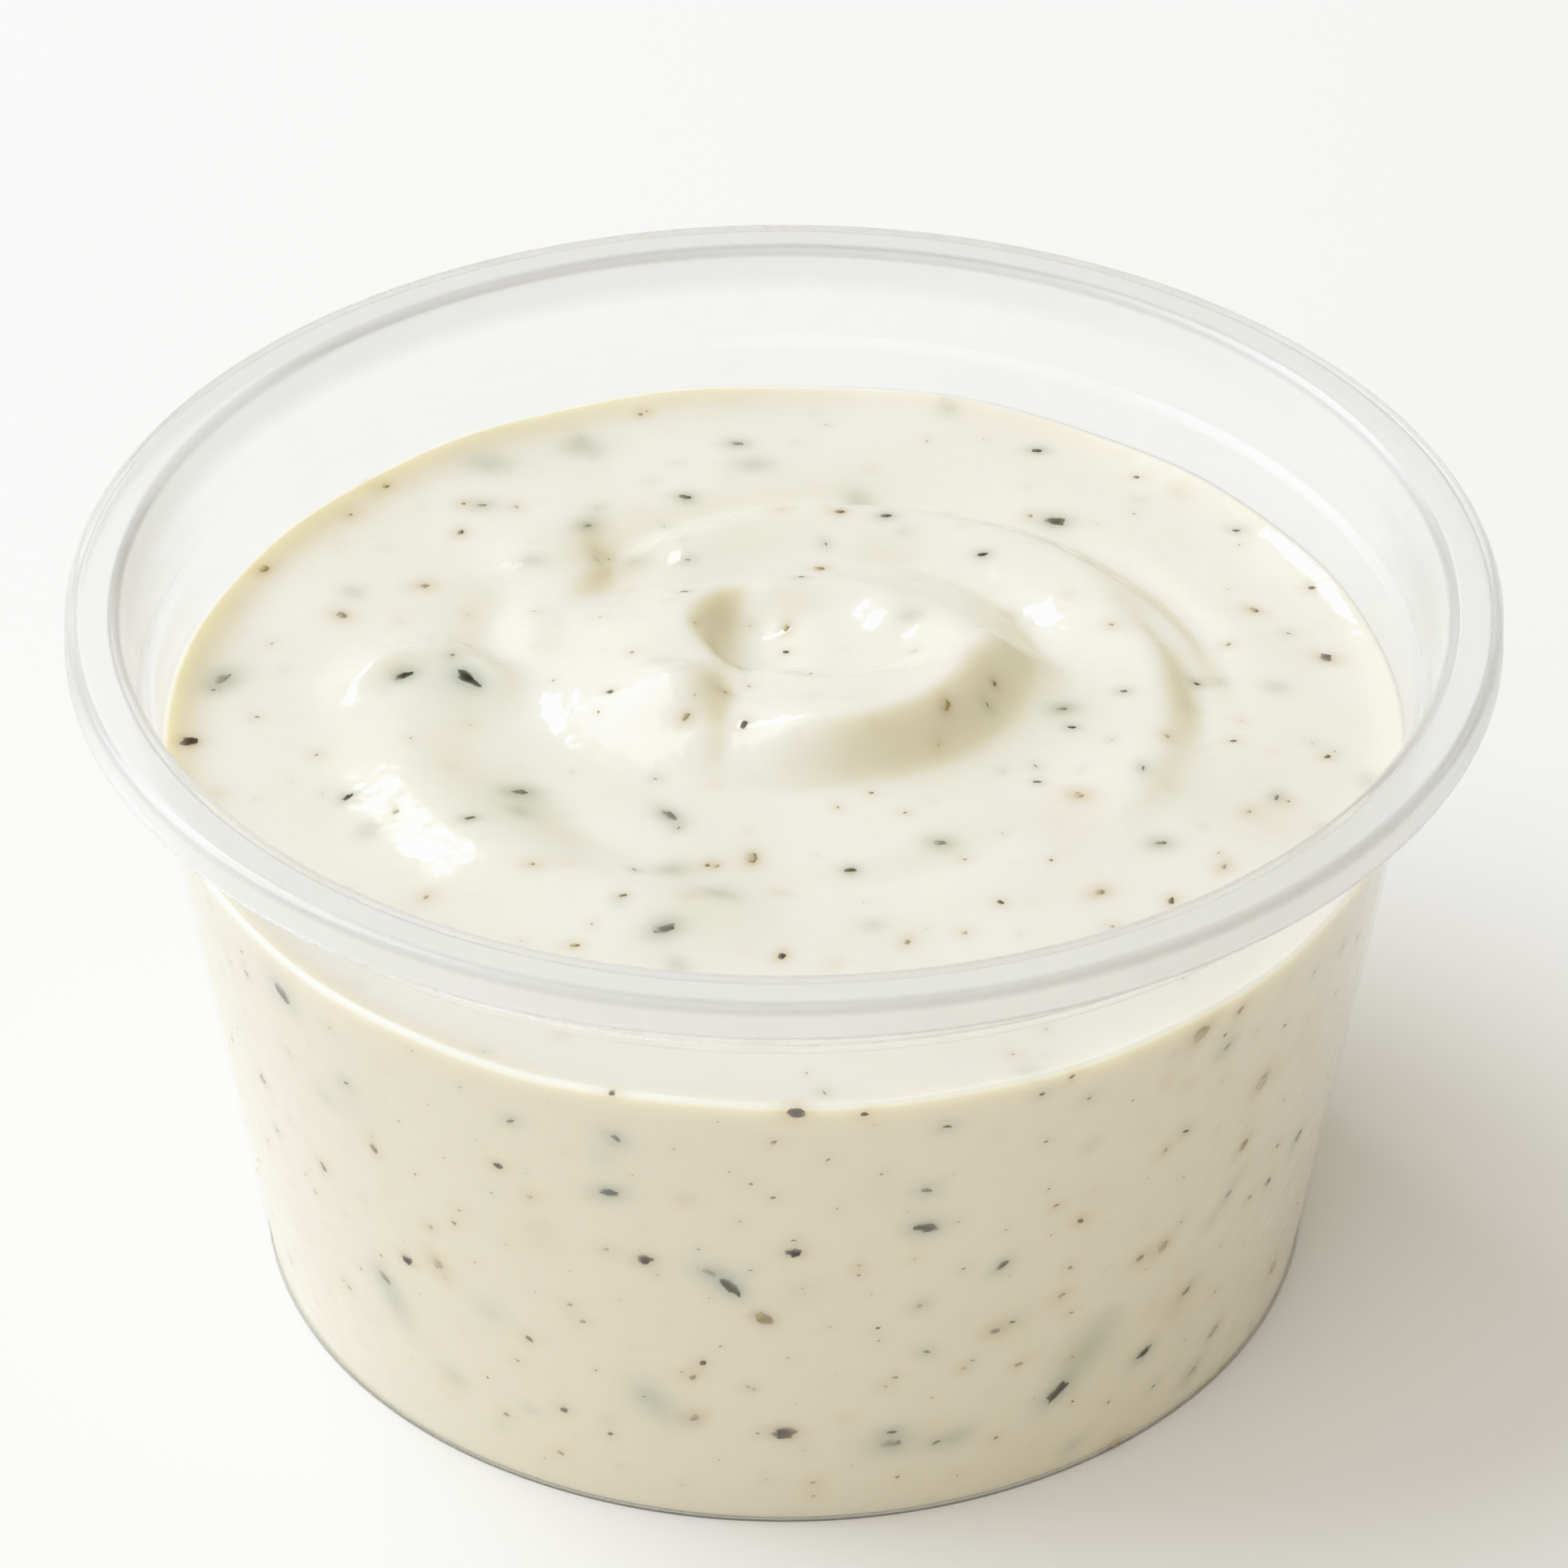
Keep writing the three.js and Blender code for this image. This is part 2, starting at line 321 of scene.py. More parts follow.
THICK_STARTS = LEDGE_HEIGHT - 0.6
THICK_FADE = 0.4
RIM_STARTS = CUP_HEIGHT - 3
RIM_FADE = 1.5
SHADOW_RAY = 1
DIFFUSE_RAY = 2


def from_axis(tree, place):
    """Distance from the cup's axis."""
    flat_place = node(tree, "ShaderNodeVectorMath", {"operation": "MULTIPLY"}, {0: place, 1: (1, 1, 0)})
    return node(tree, "ShaderNodeVectorMath", {"operation": "LENGTH"}, {0: flat_place}, output=1)


def in_foot(tree, out, height):
    """1 at the rounded edge on which the cup stands, where a shadow is painted, and 0 elsewhere."""
    narrow, wide = FOOT_BAND * MM, 2 * FOOT_BAND * MM
    near_edge = stretch(tree, out, BASE_RADIUS * MM - 4 * wide, BASE_RADIUS * MM - 2 * wide)
    return near_edge * (1 - stretch(tree, height, narrow, wide))


def in_corner(tree, out, height):
    """1 at the rim's two rounded top corners, where the sheet is seen through its bends and shade is
    painted, and 0 elsewhere.
    """
    narrow, wide = CORNER_BAND * MM, 2 * CORNER_BAND * MM
    near_mouth = 1 - stretch(tree, out, MOUTH_RADIUS * MM + narrow, MOUTH_RADIUS * MM + wide)
    near_edge = stretch(tree, out, RIM_RADIUS * MM - wide, RIM_RADIUS * MM - narrow)
    near_top = stretch(tree, height, CUP_HEIGHT * MM - wide, CUP_HEIGHT * MM - narrow)
    return (near_mouth + near_edge) * near_top


def clear_plastic():
    """Clear plastic that refracts where it is thick and hardly shades what lies behind it."""
    material, tree = new_material("clear_plastic")
    place = object_coordinates(tree)
    haze = stretch(tree, noise(tree, place, HAZE_PER_METRE), HAZE_LOW, HAZE_HIGH)
    height = node(tree, "ShaderNodeSeparateXYZ", None, {"Vector": place}, output=2)
    at_rim = stretch(tree, height, RIM_STARTS * MM, (RIM_STARTS + RIM_FADE) * MM)
    clear = mix_colours(tree, at_rim, CLEAR, RIM_CLEAR)
    out = from_axis(tree, place)
    # Painted shade at the rim's corners and a painted shadow at the foot, mixed into the plastic's tint.
    clear = mix_colours(tree, in_corner(tree, out, height), clear, CORNER_SHADE)
    at_foot = in_foot(tree, out, height)
    clear = mix_colours(tree, at_foot, clear, FOOT_SHADOW)
    edge_on = node(tree, "ShaderNodeLayerWeight", None, {"Blend": EDGE_ON_BLEND}, output=1)
    edge_on = stretch(tree, edge_on, EDGE_ON_STARTS, 1.0)
    plastic = node(
        tree,
        "ShaderNodeBsdfPrincipled",
        None,
        {
            "Base Color": mix_colours(tree, edge_on, clear, EDGE_ON),
            "Roughness": PLASTIC_ROUGHNESS,
            "IOR": PLASTIC_IOR,
            "Transmission Weight": 1.0,
        },
    )
    passing = node(tree, "ShaderNodeBsdfTransparent", None, {"Color": SHADOW_TINT})
    plastic = mix_shaders(tree, edge_on * STRAIGHT_EDGE_ON, plastic, passing)
    gloss_inputs = {"Base Color": GLOSS, "Roughness": GLOSS_ROUGHNESS, "Metallic": 1.0}
    gloss = node(tree, "ShaderNodeBsdfPrincipled", None, gloss_inputs)
    thin_wall = mix_shaders(tree, GLOSS_FACING + edge_on * GLOSS_EDGE_ON, passing, gloss)
    thick = stretch(tree, height, THICK_STARTS * MM, (THICK_STARTS + THICK_FADE) * MM)
    thick = thick + at_foot * (1 - thick)
    plastic = mix_shaders(tree, thick, thin_wall, plastic)
    milky_inputs = {"Base Color": MILKY, "Roughness": MILKY_ROUGHNESS}
    milky = node(tree, "ShaderNodeBsdfPrincipled", None, milky_inputs)
    share = MILKY_WALL + haze * HAZE_SHARE + at_rim * (MILKY_RIM - MILKY_WALL)
    plastic = mix_shaders(tree, share, plastic, milky)
    for ray in (SHADOW_RAY, DIFFUSE_RAY):
        going_on = node(tree, "ShaderNodeLightPath", output=ray)
        plastic = mix_shaders(tree, going_on, plastic, passing)
    close_material(tree, plastic)
    return material


print("plastic refracts above", round(THICK_STARTS, 2), "mm")

# %% The cup's section
CORNER_STEPS = 8
CUP_STEPS = 240


def cup_section():
    """From the axis out along the underside, over the rim and back down the inside."""
    skirt_radius = RIM_RADIUS + SKIRT_FLARE
    skirt_bottom = CUP_HEIGHT - SKIRT_DROP
    corner_height = CUP_HEIGHT - RIM_CORNER
    under_ledge = LEDGE_HEIGHT - WALL
    inside = RIM_CORNER - WALL / 2
    under_corner = CUP_HEIGHT - WALL - inside
    return [
        (0, 0),
        *floor_corner(0, 0, BASE_CORNER, CORNER_STEPS),
        (wall_radius(under_ledge), under_ledge),
        (LEDGE_RADIUS + LEDGE_STEP, LEDGE_HEIGHT - WALL / 2),
        *arc(MOUTH_RADIUS + WALL + inside, under_corner, inside, inside, 180, 90, CORNER_STEPS),
        *arc(RIM_RADIUS - WALL - inside, under_corner, inside, inside, 90, 0, CORNER_STEPS),
        *arc(skirt_radius - WALL / 2, skirt_bottom + WALL / 4, WALL / 2, WALL / 4, 180, 360, CORNER_STEPS),
        *arc(RIM_RADIUS - RIM_CORNER, corner_height, RIM_CORNER, RIM_CORNER, 0, 90, CORNER_STEPS),
        *arc(MOUTH_RADIUS + RIM_CORNER, corner_height, RIM_CORNER, RIM_CORNER, 90, 180, CORNER_STEPS),
        (LEDGE_RADIUS - WALL + LEDGE_STEP, LEDGE_HEIGHT + WALL / 4),
        (LEDGE_RADIUS - WALL, LEDGE_HEIGHT),
        *floor_corner(WALL, WALL, INNER_CORNER, CORNER_STEPS)[::-1],
        (0, WALL),
    ]


CORNER_HOLD = 0.15
LONG_STRETCH = 0.6
section = hold_corners(cup_section(), CORNER_HOLD, LONG_STRETCH)
cup_piece = finish_piece(spin_section(section, CUP_STEPS), "cup_shell", clear_plastic())
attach(cup_piece, "root")
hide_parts("cup")

# %% [markdown]
# ## The swirl
#
# The top of the dip is where a spoon was turned and lifted: a mound with a hollow in it, and folds
# that run round the mound. Sculpting would do, but each of these marks is simple: an oval swell or
# dent, or a ridge along an arc. So the height of the top is written as a sum of such marks, and the
# points of a plain turned disc are lifted to it.

# %% Heights of the top
FILL_LEVEL = 30.3
LEVEL_RISE = 1.6 / 64
CLING_HEIGHT = 0.66
CLING_WIDTH = 1.3
CLING_POWER = 1.5
REACH_INTO_WALL = 0.3
DIP_INSET = WALL - REACH_INTO_WALL
EDGE_RADIUS = wall_radius(FILL_LEVEL) - DIP_INSET

# Each oval: centre, radii, turn in degrees and height. A dent has a height below 0.
MOUND = (-0.9, 5.0, 14.4, 10.9, 0, 2.0)
HOLLOW = (2.8, 7.4, 8.6, 5.6, -8, -1.75)
SWELLS = [
    (-6.0, 1.0, 4.0, 3.4, -20, 1.0),
    (-19.2, 3.2, 6.5, 6.0, 0, 0.6),
    (-12.8, 15.6, 4.8, 3.6, -30, 0.4),
    (5.5, 9.6, 2.2, 2.6, 30, 0.3),
    (12.2, 5.2, 3.4, 2.6, -40, 0.5),
]

# The mound's flank takes up a share of its radius, least towards one heading in degrees. The hollow
# is deeper at its left than at its right: where that starts, how far it goes and by which share.
MOUND_FLANK = 0.48
MOUND_STEEP = (-45, 0.45)
HOLLOW_FLANK = 0.6
HOLLOW_RAMP = (1.4, 7.4, 0.35)

# Each fold or crease: centre, radius and angle at both ends, height, inner and outer width, and the
# share of its length over which it fades out.
FOLDS = [
    (2.4, 6.0, 7.8, 8.4, -170, 60, 0.7, 2.2, 2.2, 0.3),
    (2.4, 6.0, 11.6, 9.6, -8, 85, -0.45, 0.5, 1.5, 0.25),
    (2.8, 7.2, 6.2, 5.8, 125, 235, -1.1, 2.4, 0.9, 0.3),
    (-24.0, -0.8, 21.4, 21.4, -13, 14, -0.75, 1.1, 3.6, 0.4),
    (-13.4, 15.8, 4.4, 4.4, -70, 70, -0.8, 1.0, 2.6, 0.4),
    (-0.5, 8.0, 12.8, 12.8, 158, 200, 0.35, 1.3, 1.1, 0.4),
    (-0.5, 8.0, 15.2, 15.2, 150, 205, -0.35, 1.2, 1.6, 0.4),
    (3.0, 1.7, 18.2, 17.6, -14, 140, 0.9, 3.6, 1.5, 0.2),
    (3.0, 1.7, 20.4, 19.6, -10, 150, -0.5, 0.8, 1.4, 0.25),
    (3.0, 1.7, 19.0, 18.0, -14, 42, -0.65, 1.0, 0.9, 0.35),
    (5.0, 0.6, 14.3, 15.0, -45, 30, 0.5, 3.0, 1.4, 0.35),
    (-1.0, 2.0, 19.5, 18.5, 175, 275, 1.0, 3.6, 2.8, 0.25),
    (0.0, 2.0, 14.6, 16.5, 195, 330, -0.35, 1.6, 1.6, 0.25),
    (-18.6, 2.6, 3.7, 4.1, -25, 200, 0.85, 1.5, 1.4, 0.3),
]

# Each wave: height, turns in radians a millimetre along X and Y, and phase.
WAVES = [(0.06, 0.42, 0.3, 1.0), (0.06, 0.25, -0.46, 0.4)]


def ease(t):
    """Eases from 0 to 1 as t goes from 0 to 1."""
    s = min(1, max(0, t))
    return s * s * (3 - 2 * s)


def oval_share(x, y, oval):
    """Distance from an oval's centre, as a share of its radius that way."""
    centre_x, centre_y, radius_x, radius_y, turn, _ = oval
    cos, sin = math.cos(math.radians(turn)), math.sin(math.radians(turn))
    dx, dy = x - centre_x, y - centre_y
    return math.hypot((dx * cos + dy * sin) / radius_x, (dy * cos - dx * sin) / radius_y)


def fold_height(x, y, fold):
    """Height that one fold adds."""
    centre_x, centre_y, radius_from, radius_to, turn_from, turn_to, height, inner, outer, ends = fold
    middle = (turn_from + turn_to) / 2
    heading = math.degrees(math.atan2(y - centre_y, x - centre_x))
    share = ((heading - middle + 180) % 360 - 180 + middle - turn_from) / (turn_to - turn_from)
    fade = ease(share / ends) * ease((1 - share) / ends)
    if fade == 0:
        return 0
    crest = radius_from + (radius_to - radius_from) * min(1, max(0, share))
    off_crest = math.hypot(x - centre_x, y - centre_y) - crest
    return height * math.exp(-((off_crest / (inner if off_crest < 0 else outer)) ** 2)) * fade


def mound_flank(x, y):
    """Share of the mound's radius that its flank takes up, on the way from its centre to a point."""
    steepest, share = MOUND_STEEP
    heading = math.atan2(y - MOUND[1], x - MOUND[0])
    return MOUND_FLANK * (1 - share * math.cos(heading - math.radians(steepest)))


def dip_top(x, y):
    """Height of the dip's top at a point, in millimetres."""
    from_wall = max(0, EDGE_RADIUS - math.hypot(x, y))
    ramp_from, ramp_reach, ramp_share = HOLLOW_RAMP
    deeper = 1 - ramp_share * min(1, max(-1, (x - ramp_from) / ramp_reach))
    z = FILL_LEVEL + LEVEL_RISE * y
    z += CLING_HEIGHT * math.exp(-((from_wall / CLING_WIDTH) ** CLING_POWER))
    z += MOUND[-1] * ease((1 - oval_share(x, y, MOUND)) / mound_flank(x, y))
    z += HOLLOW[-1] * deeper * ease((1 - oval_share(x, y, HOLLOW)) / HOLLOW_FLANK)
    z += sum(swell[-1] * ease(1 - oval_share(x, y, swell)) for swell in SWELLS)
    z += sum(fold_height(x, y, fold) for fold in FOLDS)
    z += sum(height * math.sin(by_x * x + by_y * y + phase) for height, by_x, by_y, phase in WAVES)
    return z


print("swirl from", round(dip_top(0, -EDGE_RADIUS), 2), "at the front to", round(dip_top(9, 3), 2), "mm")

# %% [markdown]
# ## The flakes
#
# Chopped herb, cracked pepper and dried garlic lie in the cream at every depth. Those at its surface
# show as small hard shapes, and each also stains the cream round it. So their places are settled before
# the dip is made: the large ones where the photograph shows them, those of the side once more on the
# back, and the rest by the sunflower rule, which spreads points evenly without rows, with a seeded draw
# on top.

# %% The flecks that stand out
# Each fleck on the top: kind, place along X and Y, length, turn in degrees, and how far the cream
# veils it, from 0 to 1.
FLECKS_ON_TOP = [
    ("garlic", -8.0, 29.9, 0.54, 4, 0.35), ("herb", -2.6, 27.2, 1.09, -10, 0.45),
    ("herb", -1.7, 25.0, 1.61, -1, 0.8), ("herb", -5.4, 22.0, 0.99, -14, 0.2),
    ("pepper", 3.0, 19.2, 0.8, -8, 0.25), ("herb", 5.5, 18.8, 0.88, 0, 0.15),
    ("pepper", -17.6, 18.5, 0.8, 58, 0.3), ("garlic", -21.8, 22.6, 0.72, 16, 0.1),
    ("pepper", -23.6, 20.0, 0.63, 17, 0.45), ("garlic", -28.0, 14.4, 0.9, 42, 0.0),
    ("herb", -29.6, 4.6, 2.0, 46, 0.5), ("pepper", -27.6, 1.2, 0.51, 1, 0.45),
    ("pepper", -31.0, -1.3, 1.27, 37, 0.0), ("herb", -22.5, -6.2, 0.92, 45, 0.05),
    ("herb", -16.1, -9.1, 0.87, 22, 0.05), ("herb", -13.6, -5.6, 1.45, 14, 0.3),
    ("herb", -5.9, -7.6, 1.4, -48, 0.25), ("garlic", -1.6, -11.1, 1.1, 84, 0.3),
    ("pepper", -3.9, -11.7, 0.62, 30, 0.4), ("herb", -6.0, -17.9, 1.75, 24, 0.35),
    ("pepper", -0.1, -19.5, 0.8, 70, 0.05), ("herb", 3.4, -12.0, 0.83, 1, 0.0),
    ("herb", 8.0, -9.9, 1.24, -5, 0.5), ("pepper", 11.0, -15.0, 0.62, -31, 0.1),
    ("herb", 13.1, -4.5, 0.59, -4, 0.05), ("garlic", 15.2, -5.9, 1.16, -25, 0.6),
    ("herb", 15.0, 0.2, 0.64, -4, 0.05), ("herb", 14.6, 1.8, 1.2, 6, 0.45),
    ("herb", 17.8, 2.8, 0.7, -16, 0.2), ("herb", 21.7, 4.4, 0.76, -15, 0.0),
    ("pepper", 23.4, -0.9, 0.59, -1, 0.2), ("herb", 25.4, -5.9, 0.8, 69, 0.35),
    ("herb", 19.2, -9.9, 1.17, 7, 0.5), ("pepper", 19.6, -14.7, 0.8, 76, 0.1),
    ("pepper", 28.2, -2.4, 0.61, 14, 0.25), ("pepper", 28.7, 6.6, 1.18, -28, 0.3),
    ("garlic", 25.1, 10.9, 0.85, -33, 0.4), ("pepper", 28.3, 12.8, 0.63, -20, 0.3),
    ("herb", 24.5, 18.6, 0.71, -13, 0.2), ("pepper", 19.3, 23.7, 0.54, -10, 0.3),
    ("herb", 14.0, 26.5, 0.89, -3, 0.05), ("herb", 14.8, 19.7, 1.54, -17, 0.1),
    ("herb", 10.7, 15.5, 0.78, 5, 0.0), ("garlic", 1.9, 14.5, 0.79, 1, 0.0),
    ("herb", -5.3, 11.2, 0.7, -29, 0.1), ("pepper", -9.5, 17.1, 0.62, -1, 0.1),
    ("herb", -10.7, 19.3, 1.19, 34, 0.6), ("herb", -13.6, 15.3, 0.88, -6, 0.7),
    ("pepper", -19.3, 13.3, 0.96, 3, 0.55), ("pepper", -23.6, 10.5, 1.04, -25, 0.5),
    ("pepper", -9.1, 1.5, 0.65, -32, 0.2), ("pepper", -8.0, 4.5, 0.45, -18, 0.5),
    ("garlic", -3.1, 0.8, 0.61, 17, 0.0), ("pepper", -2.1, -1.9, 0.8, 82, 0.1),
    ("garlic", -5.1, -1.5, 0.77, 40, 0.3), ("pepper", 0.1, 7.2, 0.54, -18, 0.1),
    ("garlic", 0.1, 9.3, 0.9, 82, 0.1), ("pepper", 1.4, 2.8, 0.5, 76, 0.4),
    ("garlic", 8.4, -0.6, 0.83, 84, 0.0), ("pepper", 11.0, 2.2, 0.7, 75, 0.3),
    ("pepper", 6.2, -7.3, 0.5, -1, 0.45), ("pepper", 4.5, -5.6, 0.42, 1, 0.35),
    ("pepper", 13.6, -11.4, 0.41, 2, 0.3), ("pepper", -8.1, -15.6, 0.58, 13, 0.3),
    ("garlic", -10.5, -18.7, 0.65, -3, 0.1), ("garlic", -18.1, -14.7, 0.79, 53, 0.5),
    ("herb", -11.1, 27.0, 1.79, -3, 0.7), ("herb", -16.2, 25.1, 1.96, -2, 0.75),
    ("herb", -16.5, 21.2, 1.18, -12, 0.6), ("pepper", -17.5, 21.4, 0.62, -2, 0.4),
    ("herb", 23.0, 4.7, 0.53, 10, 0.4), ("herb", 4.1, 22.0, 1.5, -66, 0.75),
    ("herb", -20.0, 4.0, 1.2, 32, 0.0), ("herb", -16.6, 3.7, 1.9, -49, 0.0),
    ("herb", -8.2, 16.5, 1.5, -51, 0.75), ("herb", -5.2, 15.4, 0.62, -5, 0.4),
    ("pepper", 17.4, 8.8, 0.7, -46, 0.55), ("garlic", 19.9, -1.2, 0.69, -51, 0.45),
    ("herb", -5.7, -12.2, 1.25, 35, 0.8), ("herb", -3.2, -14.5, 1.21, -4, 0.8),
    ("garlic", -12.8, -13.0, 0.74, 0, 0.6), ("garlic", 23.9, -7.2, 0.67, 32, 0.6),
    ("garlic", 27.6, -8.5, 0.5, 0, 0.5), ("garlic", 16.0, -14.0, 1.03, 33, 0.5),
    ("garlic", 6.2, -18.1, 0.8, 70, 0.4), ("garlic", 9.1, -17.4, 0.57, -1, 0.4),
    ("garlic", 22.4, -11.9, 0.9, 61, 0.5), ("pepper", 9.2, -11.1, 0.5, -2, 0.6),
    ("garlic", -19.9, -7.9, 0.88, 13, 0.6), ("pepper", -24.3, -2.4, 0.59, -4, 0.6),
]

# The same on the side, where a place is a heading in degrees and a height.
FLECKS_ON_SIDE = [
    ("herb", -142, 27.7, 2.08, -34, 0.35), ("pepper", -117, 23.1, 0.8, 3, 0.05),
    ("herb", -106, 23.1, 1.49, 14, 0.15), ("herb", -105, 27.0, 1.05, -31, 0.35),
    ("pepper", -105, 30.1, 0.68, 24, 0.15), ("pepper", -89, 29.7, 1.11, -8, 0.1),
    ("pepper", -83, 29.4, 0.6, -6, 0.1), ("herb", -77, 21.0, 1.63, -12, 0.1),
    ("herb", -77, 23.6, 0.93, -11, 0.45), ("pepper", -89, 19.9, 0.97, -1, 0.0),
    ("pepper", -103, 18.7, 1.02, 11, 0.0), ("herb", -97, 18.3, 1.39, -22, 0.6),
    ("herb", -95, 17.3, 1.74, -54, 0.0), ("garlic", -92, 15.2, 1.17, -39, 0.0),
    ("pepper", -130, 13.2, 0.91, -10, 0.0), ("herb", -134, 10.7, 1.51, -47, 0.45),
    ("herb", -133, 9.1, 2.19, -59, 0.8), ("herb", -69, 17.2, 1.0, 41, 0.15),
    ("garlic", -50, 28.8, 1.62, 31, 0.35), ("garlic", -45, 28.9, 0.73, 33, 0.1),
    ("herb", -50, 6.6, 1.18, 30, 0.0), ("herb", -61, 6.5, 1.92, 51, 0.0), ("herb", -58, 8.9, 3.1, 57, 0.75),
    ("herb", -103, 8.4, 2.41, -58, 0.7), ("herb", -79, 5.5, 2.02, -3, 0.6),
    ("herb", -72, 5.2, 1.25, 28, 0.65), ("pepper", -90, 6.8, 1.41, -7, 0.05),
    ("pepper", -98, 11.7, 0.66, 33, 0.1), ("pepper", -99, 10.6, 0.72, 43, 0.4),
    ("pepper", -113, 6.4, 0.75, 20, 0.15), ("pepper", -108, 5.4, 0.56, 16, 0.2),
    ("garlic", -114, 3.0, 0.58, -22, 0.1), ("pepper", -132, 20.4, 0.85, -59, 0.35),
    ("pepper", -141, 16.2, 0.67, -49, 0.3), ("garlic", -144, 13.5, 0.59, -44, 0.4),
    ("garlic", -64, 29.4, 0.6, 36, 0.1), ("herb", -41, 15.0, 0.83, 40, 0.35),
    ("herb", -45, 9.5, 1.01, 33, 0.3), ("herb", -27, 14.1, 1.26, 19, 0.35),
    ("garlic", -39, 22.1, 1.66, 35, 0.5), ("pepper", -61, 18.8, 0.65, -23, 0.2),
    ("pepper", -69, 12.5, 0.91, -12, 0.5), ("garlic", -79, 10.4, 0.51, -10, 0.2),
    ("pepper", -116, 11.0, 0.66, -28, 0.2), ("garlic", -126, 14.1, 1.46, -55, 0.5),
    ("herb", -41, 2.4, 1.14, 25, 0.6), ("garlic", -25, 4.2, 1.3, -5, 0.3),
    ("garlic", -50, 14.2, 1.07, 40, 0.3), ("garlic", -53, 14.1, 0.84, 25, 0.2),
    ("garlic", -64, 20.5, 0.6, 5, 0.4), ("pepper", -91, 23.8, 0.48, 1, 0.3),
    ("pepper", -93, 24.7, 0.4, 2, 0.4), ("garlic", -114, 21.5, 0.69, 19, 0.5),
    ("garlic", -123, 17.7, 0.57, 4, 0.2), ("garlic", -83, 18.8, 0.57, -6, 0.5),
    ("garlic", -77, 15.5, 0.52, -12, 0.5), ("pepper", -83, 18.1, 0.49, -6, 0.5),
    ("pepper", -111, 14.4, 0.57, 18, 0.5), ("garlic", -120, 4.6, 0.62, -7, 0.3),
    ("garlic", -66, 9.5, 0.6, 6, 0.2), ("garlic", -72, 10.2, 0.55, -16, 0.5),
    ("garlic", -52, 0.4, 0.95, 4, 0.4), ("garlic", -87, 3.0, 0.58, -3, 0.5),
    ("pepper", -81, 14.2, 0.42, -8, 0.3), ("garlic", -38, 4.5, 0.91, 20, 0.4),
    ("garlic", -151, 18.7, 0.99, -26, 0.4), ("garlic", -149, 26.6, 0.85, -33, 0.5),
    ("pepper", -33, 13.1, 0.85, 38, 0.3), ("garlic", -40, 18.1, 1.08, 37, 0.3),
    ("herb", -46, 26.7, 0.98, 34, 0.55), ("garlic", -52, 21.4, 0.73, 33, 0.4),
    ("garlic", -77, 31.7, 1.04, 3, 0.7), ("pepper", -99, 7.6, 0.96, 33, 0.6),
    ("garlic", -93, 10.0, 0.49, 3, 0.4), ("garlic", -62, 13.7, 0.75, 18, 0.5),
    ("garlic", -141, 7.8, 0.76, -36, 0.5), ("herb", -126, 5.8, 0.84, -26, 0.7),
]


def top_normal(x, y):
    """Direction that the dip's top faces."""
    step = 0.05
    slope_x = (dip_top(x + step, y) - dip_top(x - step, y)) / (2 * step)
    slope_y = (dip_top(x, y + step) - dip_top(x, y - step)) / (2 * step)
    return Vector((-slope_x, -slope_y, 1)).normalized()


def on_side(heading, z):
    """Place on the dip's side at a heading in radians and a height, and the direction it faces."""
    radius = wall_radius(z) - DIP_INSET
    facing = Vector((math.cos(heading), math.sin(heading), -math.sin(math.radians(WALL_LEAN))))
    return Vector((radius * facing.x, radius * facing.y, z)), facing.normalized()


def lie_along(normal, turn):
    """Direction in a surface, so many degrees from level on the side or from the X axis on the top."""
    level = Vector((-normal.y, normal.x, 0)) if abs(normal.z) < 0.5 else Vector((1, 0, 0))
    along = (level - normal * level.dot(normal)).normalized()
    along.rotate(Matrix.Rotation(math.radians(turn), 3, normal))
    return along


def flake_at(kind, place, normal, length, turn, veil):
    """What the later steps need to know of a flake."""
    return kind, place, normal, lie_along(normal, turn), length, veil


BACK_TURN = 187
flakes = []
for kind, x, y, length, turn, veil in FLECKS_ON_TOP:
    flakes.append(flake_at(kind, Vector((x, y, dip_top(x, y))), top_normal(x, y), length, turn, veil))
for kind, heading, z, length, turn, veil in FLECKS_ON_SIDE:
    flakes.append(flake_at(kind, *on_side(math.radians(heading), z), length, turn, veil))
for kind, heading, z, length, turn, veil in FLECKS_ON_SIDE:
    place, facing = on_side(math.radians(heading + BACK_TURN), FILL_LEVEL + 1 - z)
    flakes.append(flake_at(kind, place, facing, length, -turn, veil))
print(len(flakes), "flecks stand out")

# %% Scatter the small ones
SMALL_ON_TOP = 190
SMALL_ON_SIDE = 620
SMALL_ON_FLOOR = 80
GOLDEN_ANGLE = math.pi * (3 - math.sqrt(5))
HEADING_SHARE = 0.7548777
HEIGHT_SHARE = 0.5698403
KINDS = ("herb", "pepper", "garlic")
KIND_SHARES = (40, 32, 28)
SIZES = {"herb": (0.2, 0.9), "pepper": (0.16, 0.5), "garlic": (0.2, 0.7)}
TOP_VEIL = 0.35
SIDE_VEIL = 0.15
VEIL_RANGE = 0.6
ANY_TURN = 90
SIDE_TURN = 25
EDGE_MARGIN = 0.8
HEADING_DRAW = 0.15
LOWEST_FLAKE = 1.5
SIDE_MARGIN = 2.5
FLOOR_MARGIN = 2.5
DIP_FLOOR = WALL - REACH_INTO_WALL
draw = random.Random(11)


def small_flake(place, normal, spread, least_veil):
    """A flake of a random kind, size and turn, at a place on a surface."""
    kind = draw.choices(KINDS, KIND_SHARES)[0]
    small, large = SIZES[kind]
    length = small + (large - small) * draw.random() ** 2
    veil = least_veil + VEIL_RANGE * draw.random()
    return flake_at(kind, place, normal, length, spread * draw.uniform(-1, 1), veil)


